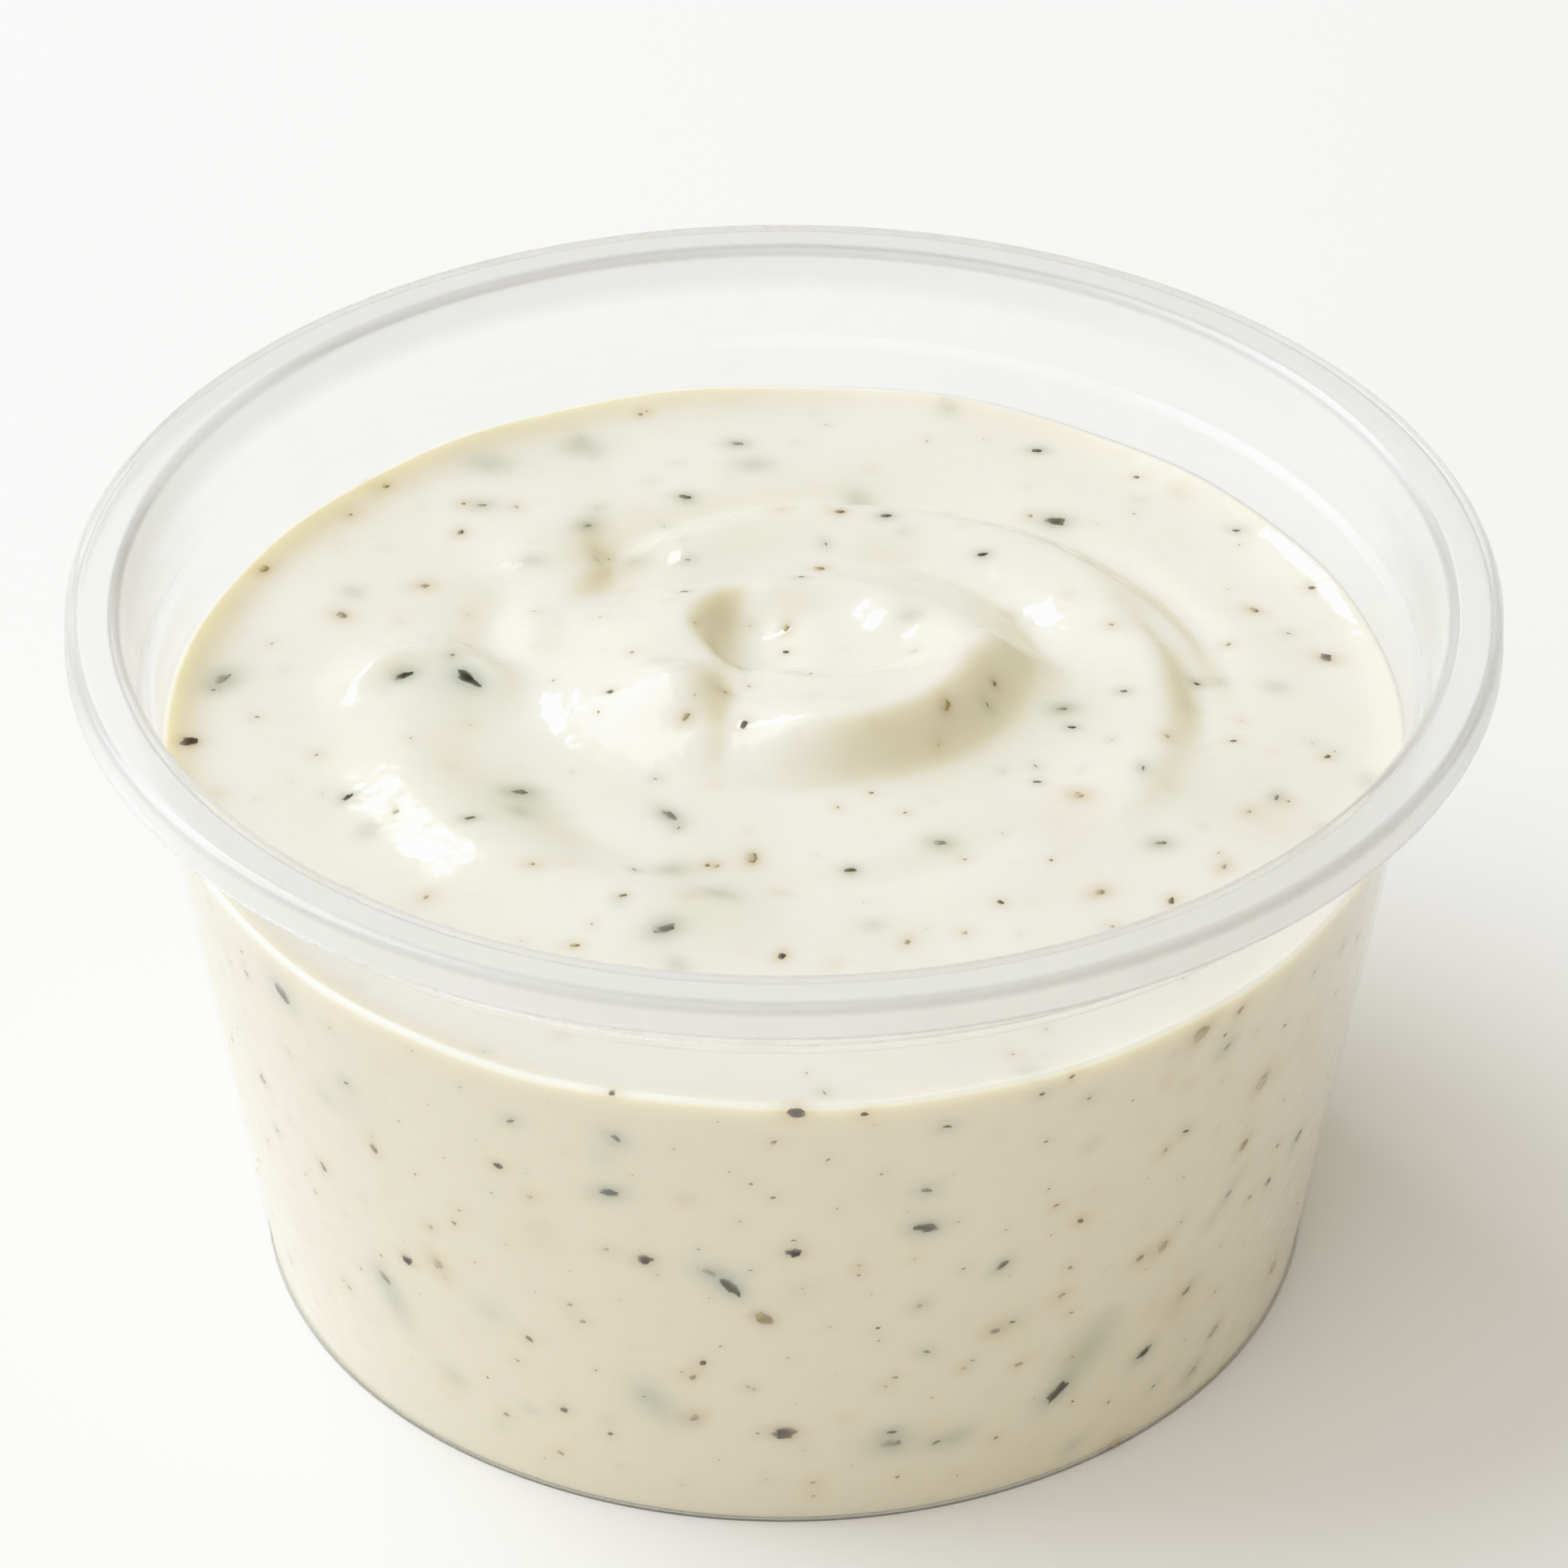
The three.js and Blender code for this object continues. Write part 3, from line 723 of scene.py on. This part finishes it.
for i in range(SMALL_ON_TOP):
    radius = (EDGE_RADIUS - EDGE_MARGIN) * math.sqrt((i + draw.random()) / SMALL_ON_TOP)
    heading = i * GOLDEN_ANGLE + draw.uniform(-HEADING_DRAW, HEADING_DRAW)
    x, y = radius * math.cos(heading), radius * math.sin(heading)
    place = Vector((x, y, dip_top(x, y)))
    flakes.append(small_flake(place, top_normal(x, y), ANY_TURN, TOP_VEIL))
for i in range(SMALL_ON_SIDE):
    heading = FULL_TURN * ((i * HEADING_SHARE) % 1)
    z = LOWEST_FLAKE + (FILL_LEVEL - SIDE_MARGIN) * ((i * HEIGHT_SHARE) % 1)
    flakes.append(small_flake(*on_side(heading, z), SIDE_TURN, SIDE_VEIL))
for i in range(SMALL_ON_FLOOR):
    radius = (BASE_RADIUS - FLOOR_MARGIN) * math.sqrt((i + 0.5) / SMALL_ON_FLOOR)
    heading = i * GOLDEN_ANGLE
    place = Vector((radius * math.cos(heading), radius * math.sin(heading), DIP_FLOOR))
    flakes.append(small_flake(place, Vector((0, 0, -1)), ANY_TURN, SIDE_VEIL))
print(len(flakes), "flakes:", {kind: sum(f[0] == kind for f in flakes) for kind in KINDS})

# %% Herbs and spices that are wholly sunk
# Each on the top: kind, place along X and Y, how far it spreads, and how strongly it stains.
SUNKEN_ON_TOP = [
    ("herb", -17.8, 3.6, 2.6, 0.42), ("herb", -6.0, 15.0, 3.2, 0.3), ("herb", -13.2, -7.0, 2.0, 0.5),
    ("herb", 16.0, 1.6, 3.0, 0.2), ("herb", -4.5, -13.5, 2.5, 0.16), ("herb", 21.0, -6.0, 2.0, 0.16),
    ("garlic", -9.0, 15.6, 1.6, 0.5), ("garlic", 14.5, -8.0, 2.2, 0.3), ("garlic", 25.0, -8.0, 2.0, 0.3),
]
SUNKEN_ON_SIDE = 44
SUNKEN_MARGIN = 3
SUNKEN_REACH = (0.8, 2.4)
SUNKEN_STRENGTH = (0.12, 0.4)
sunken = []
for kind, x, y, reach, strength in SUNKEN_ON_TOP:
    sunken.append((kind, Vector((x, y, dip_top(x, y))), reach, strength))
for i in range(SUNKEN_ON_SIDE):
    z = SUNKEN_MARGIN + (FILL_LEVEL - 2 * SUNKEN_MARGIN) * ((i * HEIGHT_SHARE) % 1)
    place, _ = on_side(FULL_TURN * ((i * HEADING_SHARE) % 1), z)
    kind = draw.choice(("herb", "garlic", "garlic"))
    sunken.append((kind, place, draw.uniform(*SUNKEN_REACH), draw.uniform(*SUNKEN_STRENGTH)))
print(len(sunken), "sunken bits")

# %% [markdown]
# ## The body of the dip
#
# The dip is spun like the cup, with many rings on its top, and its top points are then lifted to the
# swirl and smoothed a little. Its sides reach a little way into the plastic, because cream wets the
# wall: a gap of air there would show as a silvery skin.
#
# Each point also stores how near it is to a flake, and the material reads that to stain the cream,
# which is how a flake just under the surface looks. It stores four tones too, of painted light and
# shade: a painted tan shade where the cream lies on the wall, where a fold leans away from the light,
# and in the thin lip at the left, and a painted white highlight along the edge of its top, where it
# thins out on the wall.

# %% The dip
DIP_CORNER = 0.5
DIP_CORNER_STEPS = 6
SIDE_ROWS = 60
TOP_RINGS = 120
DIP_STEPS = 360


def dip_section():
    """From the axis out along the underside, up the wall and in along the top."""
    corner = floor_corner(DIP_FLOOR, DIP_INSET, DIP_CORNER, DIP_CORNER_STEPS)
    foot_radius, foot_height = corner[-1]
    side = []
    for row in range(1, SIDE_ROWS):
        share = row / SIDE_ROWS
        radius = foot_radius + (EDGE_RADIUS - foot_radius) * share
        side.append((radius, foot_height + (FILL_LEVEL - foot_height) * share))
    top = [(EDGE_RADIUS * (1 - ring / TOP_RINGS), FILL_LEVEL) for ring in range(TOP_RINGS + 1)]
    return [(0, DIP_FLOOR), *corner, *side, *top], foot_height


def lift_top(bm, foot_height):
    """Lifts the top to the swirl, and stretches the sides to meet it."""
    for vert in bm.verts:
        x, y, z = vert.co
        if z >= FILL_LEVEL - HAIR:
            vert.co.z = dip_top(x, y)
        elif z > foot_height:
            out = math.hypot(x, y)
            edge = dip_top(x / out * EDGE_RADIUS, y / out * EDGE_RADIUS)
            share = (z - foot_height) / (FILL_LEVEL - foot_height)
            vert.co.z = foot_height + (edge - foot_height) * share
            radius = wall_radius(vert.co.z) - DIP_INSET
            vert.co.x, vert.co.y = x / out * radius, y / out * radius


SOFTENING_PASSES = 3
SOFTENING = 0.5
SOFTEN_ABOVE = FILL_LEVEL - 3
SOFTEN_WITHIN = EDGE_RADIUS - 1


def soften_top(bm):
    """Rounds the creases of the top, away from the wall."""
    inner = [v for v in bm.verts if v.co.z > SOFTEN_ABOVE and math.hypot(v.co.x, v.co.y) < SOFTEN_WITHIN]
    for _ in range(SOFTENING_PASSES):
        bmesh.ops.smooth_vert(bm, verts=inner, factor=SOFTENING, use_axis_z=True)


# Each halo round a flake: its margin, and the shares of the flake's length it takes along and across.
TIGHT_HALO = (0.2, 0.5, 0.25)
WIDE_HALO = (0.35, 0.7, 0.45)
WIDE_LEAST, WIDE_VEILED = 0.25, 0.55
STAIN_REACH = 3.0


def halo_strength(lengthwise, crosswise, length, halo):
    """How strongly one halo colours a point, from 1 at the flake to 0 far away."""
    margin, along_share, across_share = halo
    along_reach = margin + along_share * length
    across_reach = margin + across_share * length
    away = math.hypot(lengthwise / along_reach, crosswise / across_reach)
    return math.exp(-away * away)


def stain_strength(flake, point):
    """How strongly a flake colours the cream at a point: a tight halo and a wide one."""
    _, place, _, along, length, veil = flake
    offset = point - place
    lengthwise = offset.dot(along)
    crosswise = (offset - along * lengthwise).length
    tight = (1 - veil) * halo_strength(lengthwise, crosswise, length, TIGHT_HALO)
    wide = halo_strength(lengthwise, crosswise, length, WIDE_HALO)
    return min(1, length) * (tight + (WIDE_LEAST + WIDE_VEILED * veil) * wide)


def store_stains(bm):
    """Stores on each point how strongly herbs and spices nearby stain the cream there."""
    tree = KDTree(len(flakes))
    for index, flake in enumerate(flakes):
        tree.insert(flake[1], index)
    tree.balance()
    herb_layer = bm.verts.layers.float.new("herb_stain")
    spice_layer = bm.verts.layers.float.new("spice_stain")
    for vert in bm.verts:
        stains = {"herb": 0.0, "pepper": 0.0, "garlic": 0.0}
        for _, index, _ in tree.find_range(vert.co, STAIN_REACH):
            stains[flakes[index][0]] += stain_strength(flakes[index], vert.co)
        for kind, place, reach, strength in sunken:
            stains[kind] += strength * math.exp(-((vert.co - place).length / reach) ** 2)
        vert[herb_layer] = min(1, stains["herb"])
        vert[spice_layer] = min(1, stains["pepper"] + stains["garlic"])


SHADED_SIDE = Vector((0.95, -0.31, 0))
FOLD_STEEPNESS = 2
LEAST_UPWARD = 0.3
TOUCHES_WALL = 0.02
EDGE_RING = 0.1
WALL_SHADE_FADE = 0.9
LIP_REACH = 1.5
LIP_HEADING = math.radians(150)


def store_tones(bm):
    """Stores painted shade where the cream lies on the wall, where a fold leans to the right away from the
    light, and in the thin lip, and a painted highlight at the top's edge.
    """
    bm.normal_update()
    wall_shade_layer = bm.verts.layers.float.new("wall_shade")
    fold_shade_layer = bm.verts.layers.float.new("fold")
    lip_shade_layer = bm.verts.layers.float.new("lip")
    edge_highlight_layer = bm.verts.layers.float.new("edge")
    for vert in bm.verts:
        x, y, z = vert.co
        out = math.hypot(x, y)
        in_from_wall = wall_radius(z) - DIP_INSET - out
        towards = (1 + math.cos(math.atan2(y, x) - LIP_HEADING)) / 2
        faces_up = vert.normal.z > LEAST_UPWARD
        # Painted shade: the dip's sides against the wall, below the top's edge.
        if in_from_wall < TOUCHES_WALL and not faces_up:
            below_edge = dip_top(x / out * EDGE_RADIUS, y / out * EDGE_RADIUS) - z
            vert[wall_shade_layer] = min(1, max(0, below_edge / WALL_SHADE_FADE))
        # Painted highlight along the edge of the top, where it meets the wall.
        elif out > EDGE_RADIUS - EDGE_RING:
            vert[edge_highlight_layer] = 1
        elif faces_up:
            # Painted shade on the slopes of the swirl that lean away from the light.
            vert[fold_shade_layer] = min(1, max(0, FOLD_STEEPNESS * vert.normal.dot(SHADED_SIDE)))
            # Painted shade in the thin lip at the wall, strongest at the left.
            vert[lip_shade_layer] = towards**3 * math.exp(-((in_from_wall / LIP_REACH) ** 2))


print("dip section of", len(dip_section()[0]), "points")

# %% [markdown]
# ## The look of the cream
#
# Sour cream and mayonnaise scatter light a few millimetres deep, so shaded folds glow a warm tan and
# never go grey. Subsurface scattering does that, and painted tan shade in the folds adds to it. The
# colour itself hardly varies: a slow drift, the four painted tones of shade and highlight stored above,
# and the stains, green round herbs and tan round spices. The skin is wet, so it is fairly glossy, with
# ripples too fine to model added as a bump.

# %% Cream
CREAM = (0.81, 0.795, 0.7, 1)
CREAM_DEEP = (0.8, 0.77, 0.64, 1)
# Painted shade: a darker tan on the dip's sides against the wall.
CREAM_WALL_SHADE = (0.764, 0.7, 0.522, 1)
# Painted shade: a deeper tan on folds that lean away from the light.
CREAM_FOLD_SHADE = (0.77, 0.71, 0.49, 1)
# Painted shade: a dark tan in the thin lip at the left.
CREAM_LIP_SHADE = (0.65, 0.58, 0.405, 1)
# Painted highlight: the edge of the top is painted whiter.
CREAM_EDGE_HIGHLIGHT = (0.82, 0.82, 0.81, 1)
HERB_STAIN = (0.42, 0.445, 0.33, 1)
SPICE_STAIN = (0.6, 0.46, 0.26, 1)
DRIFT_PER_METRE = 90
DRIFT_LOW, DRIFT_HIGH = 0.35, 0.7
DRIFT_SHARE = 0.6
FOLD_SHADE_SHARE = 0.85
LIP_SHADE_SHARE = 0.85
HERB_SHARE = 0.75
SPICE_SHARE = 0.7
RIPPLES_PER_METRE = 420
GRAINS_PER_METRE = 1500
GRAIN_SHARE = 0.12
RIPPLE_BUMP = {"Strength": 0.25, "Distance": 0.0004}
WET_ROUGHNESS = 0.11
ROUGHNESS_DRIFT = 0.06
CREAM_IOR = 1.42
SCATTER_WEIGHT = 0.9
SCATTER_COLOUR = (1.0, 0.8, 0.32)
SCATTER_DEPTH = 2 * MM


def cream():
    """Thick cream with herbs and spices in it."""
    material, tree = new_material("ranch_cream")
    place = object_coordinates(tree)
    drift = stretch(tree, noise(tree, place, DRIFT_PER_METRE, 3.0), DRIFT_LOW, DRIFT_HIGH)
    colour = mix_colours(tree, drift * DRIFT_SHARE, CREAM, CREAM_DEEP)
    # Painted shade on the dip's sides against the wall.
    colour = mix_colours(tree, stored(tree, "wall_shade"), colour, CREAM_WALL_SHADE)
    # Painted shade on folds that lean away from the light.
    colour = mix_colours(tree, stored(tree, "fold") * FOLD_SHADE_SHARE, colour, CREAM_FOLD_SHADE)
    # Painted shade in the thin lip at the left.
    colour = mix_colours(tree, stored(tree, "lip") * LIP_SHADE_SHARE, colour, CREAM_LIP_SHADE)
    # Painted highlight along the edge of the top.
    colour = mix_colours(tree, stored(tree, "edge"), colour, CREAM_EDGE_HIGHLIGHT)
    colour = mix_colours(tree, stored(tree, "herb_stain") * HERB_SHARE, colour, HERB_STAIN)
    colour = mix_colours(tree, stored(tree, "spice_stain") * SPICE_SHARE, colour, SPICE_STAIN)
    ripple = noise(tree, place, RIPPLES_PER_METRE) + noise(tree, place, GRAINS_PER_METRE, 1.0) * GRAIN_SHARE
    bump = node(tree, "ShaderNodeBump", None, {**RIPPLE_BUMP, "Height": ripple})
    surface = node(
        tree,
        "ShaderNodeBsdfPrincipled",
        {"subsurface_method": "BURLEY"},
        {
            "Base Color": colour,
            "Roughness": WET_ROUGHNESS + drift * ROUGHNESS_DRIFT,
            "IOR": CREAM_IOR,
            "Subsurface Weight": SCATTER_WEIGHT,
            "Subsurface Radius": SCATTER_COLOUR,
            "Subsurface Scale": SCATTER_DEPTH,
            "Normal": bump,
        },
    )
    close_material(tree, surface)
    return material


print("cream scatters light over", SCATTER_DEPTH / MM, "mm")

# %% Make the dip
section, foot = dip_section()
dip_mesh = spin_section(section, DIP_STEPS)
lift_top(dip_mesh, foot)
soften_top(dip_mesh)
store_stains(dip_mesh)
store_tones(dip_mesh)
dip_piece = finish_piece(dip_mesh, "dip_body", cream())
for layer in dip_piece.data.attributes:
    print("attribute", layer.name, layer.domain)
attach(dip_piece, "root")
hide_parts("dip")

# %% [markdown]
# ## Making the flakes
#
# A flake is a scrap a millimetre long, so a small ball of a few dozen faces is enough, pressed flat,
# stretched and knocked out of shape. Each is sunk in the cream so that only its top shows, and none is
# so thick that it would stand out of the wall. Those the cream veils most are left to their stain. All
# the flakes of a kind are one mesh, because one material serves them all, and each point stores how
# far the cream veils it, more round the flake's rim than on its middle.

# %% Flakes of one kind
FLAKE_FORMS = {"herb": (0.42, 0.16), "pepper": (0.68, 0.35), "garlic": (0.62, 0.3)}
FLAKE_SINK = 0.05
THICKEST_FLAKE = 0.25
LARGE_FLAKE = 0.9
DEEPEST_SEEN = 0.62
SEEN_SHARE = 0.82
VEILED_SHARE = 0.7
RIM_VEIL = 0.8
KNOCK = 0.4


def flake_matrix(place, normal, along, length, form):
    """Lays a unit ball on a surface as a flake of a length and a form."""
    width, thickness = length * form[0], min(length * form[1], THICKEST_FLAKE)
    sizes = (along * length / 2, normal.cross(along) * width / 2, normal * thickness / 2)
    turned = Matrix([list(size) for size in sizes]).transposed().to_4x4()
    return Matrix.Translation(place - normal * thickness * FLAKE_SINK) @ turned


def make_flakes(kind, material, seed):
    """All the flakes of one kind, as one piece."""
    knock = random.Random(seed)
    bm = bmesh.new()
    veil_layer = bm.verts.layers.float.new("veil")
    for flake_kind, place, normal, along, length, veil in flakes:
        if flake_kind != kind or veil > DEEPEST_SEEN:
            continue
        detail = 2 if length > LARGE_FLAKE else 1
        seen = length * SEEN_SHARE * (1 - VEILED_SHARE * veil)
        matrix = flake_matrix(place, normal, along, seen, FLAKE_FORMS[kind])
        ball = bmesh.ops.create_icosphere(bm, subdivisions=detail, radius=1, matrix=matrix)
        for vert in ball["verts"]:
            offset = vert.co - matrix.translation
            outward = max(0, offset.dot(normal) / matrix.to_scale().z)
            vert.co += offset * knock.uniform(-KNOCK, KNOCK)
            vert[veil_layer] = min(1, veil + RIM_VEIL * (1 - outward) ** 2)
    return finish_piece(bm, kind + "_flakes", material)


TONES_PER_METRE = 700
TONE_LOW, TONE_HIGH = 0.35, 0.65
FLAKE_GRAINS_PER_METRE = 6000
GRAIN_BUMP = {"Strength": 0.4, "Distance": 0.0001}
VEIL_SHARE = 0.6
FLAKE_GLOSS = 0.12


def flake_material(name, dark, light, roughness):
    """A dull dried flake whose colour changes from one flake to the next."""
    material, tree = new_material(name)
    place = object_coordinates(tree)
    tone = stretch(tree, noise(tree, place, TONES_PER_METRE, 1.0), TONE_LOW, TONE_HIGH)
    grain = noise(tree, place, FLAKE_GRAINS_PER_METRE, 1.0)
    bump = node(tree, "ShaderNodeBump", None, {**GRAIN_BUMP, "Height": grain})
    flake_colour = mix_colours(tree, tone, dark, light)
    colour = mix_colours(tree, stored(tree, "veil") * VEIL_SHARE, flake_colour, CREAM_DEEP)
    inputs = {"Base Color": colour, "Roughness": roughness, "Specular IOR Level": FLAKE_GLOSS}
    close_material(tree, node(tree, "ShaderNodeBsdfPrincipled", None, {**inputs, "Normal": bump}))
    return material


# The slot's name, the darkest and the lightest colour, and the roughness of each kind.
FLAKE_LOOKS = {
    "herb": ("herb_flakes", (0.015, 0.018, 0.008, 1), (0.06, 0.065, 0.028, 1), 0.6),
    "pepper": ("pepper_specks", (0.015, 0.012, 0.008, 1), (0.085, 0.06, 0.028, 1), 0.6),
    "garlic": ("garlic_bits", (0.22, 0.155, 0.05, 1), (0.44, 0.34, 0.16, 1), 0.5),
}
for seed, kind in enumerate(KINDS):
    slot, *look = FLAKE_LOOKS[kind]
    piece = make_flakes(kind, flake_material(slot, *look), seed)
    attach(piece, "root")

# %% [markdown]
# ## The table and the light
#
# The photograph is high-key: a white table, light from all round, and one large soft light at the
# left that rolls a pale shadow off to the right. A bright, warm world gives the light from all round,
# and a large round lamp gives the soft one. A small lamp puts the wet glints on the swirl, and a weak
# one lightens the front.

# %% Floor, world and lamps
FLOOR_HALF = 3.0
TABLE_DARK = (0.9, 0.9, 0.9, 1)
TABLE_LIGHT = (0.92, 0.92, 0.92, 1)
TABLE_DRIFT_PER_METRE = 4
TABLE_ROUGHNESS = 0.7
WORLD_COLOUR = (1, 0.935, 0.79, 1)
WORLD_STRENGTH = 0.5

floor_mesh = bmesh.new()
bmesh.ops.create_grid(floor_mesh, x_segments=1, y_segments=1, size=FLOOR_HALF / MM)
floor_material, floor_tree = new_material("pale_table")
table_drift = noise(floor_tree, object_coordinates(floor_tree), TABLE_DRIFT_PER_METRE)
tint = mix_colours(floor_tree, table_drift, TABLE_DARK, TABLE_LIGHT)
floor_inputs = {"Base Color": tint, "Roughness": TABLE_ROUGHNESS}
close_material(floor_tree, node(floor_tree, "ShaderNodeBsdfPrincipled", None, floor_inputs))
floor = finish_piece(floor_mesh, "floor", floor_material)

world = bpy.data.worlds.new("soft_world")
world.use_nodes = True
background = world.node_tree.nodes["Background"]
background.inputs["Color"].default_value = WORLD_COLOUR
background.inputs["Strength"].default_value = WORLD_STRENGTH
bpy.context.scene.world = world


def soft_lamp(name, azimuth, elevation, distance, size, power, colour):
    """A round lamp, placed by two angles in degrees and turned to the middle of the cup."""
    data = bpy.data.lights.new(name, "AREA")
    data.shape = "DISK"
    data.size = size
    data.energy = power
    data.color = colour
    lamp = bpy.data.objects.new(name, data)
    flat = math.cos(math.radians(elevation))
    turn = math.radians(azimuth)
    towards = Vector((flat * math.cos(turn), flat * math.sin(turn), math.sin(math.radians(elevation))))
    lamp.location = towards * distance + Vector((0, 0, CUP_HEIGHT * MM / 2))
    lamp.rotation_euler = towards.to_track_quat("Z", "Y").to_euler()
    bpy.context.scene.collection.objects.link(lamp)


# Each lamp: azimuth, elevation, distance and size in metres, power in watts, and colour.
soft_lamp("key", 163, 43, 1.4, 1.36, 19.7, (0.875, 0.935, 1))
soft_lamp("glint", 118, 47, 0.86, 0.14, 0.8, (0.96, 0.98, 1))
soft_lamp("fill", 245, 48, 0.9, 0.9, 2.1, (0.98, 0.98, 1))
print("three lamps and the world")

# %% [markdown]
# ## The whites
#
# The photograph's whites are pressed together, so that the table, the cream and the plastic keep apart
# although all of them are nearly white. A tone curve with a soft shoulder does that to the picture.

# %% Press the whites together
BRIGHTEST_LIGHT = 2
WHITE_POINT = (1.5, 0.98)
SHOULDER = ((0.6, 0.6), (0.94, 0.84), (1.13, 0.945))
COMBINED = 3

view = bpy.context.scene.view_settings
view.view_transform = "Standard"
view.use_curve_mapping = True
view.curve_mapping.clip_max_x = BRIGHTEST_LIGHT
curve = view.curve_mapping.curves[COMBINED]
curve.points[1].location = WHITE_POINT
for point in SHOULDER:
    curve.points.new(*point)
view.curve_mapping.update()
print("tone curve with", len(curve.points), "points")
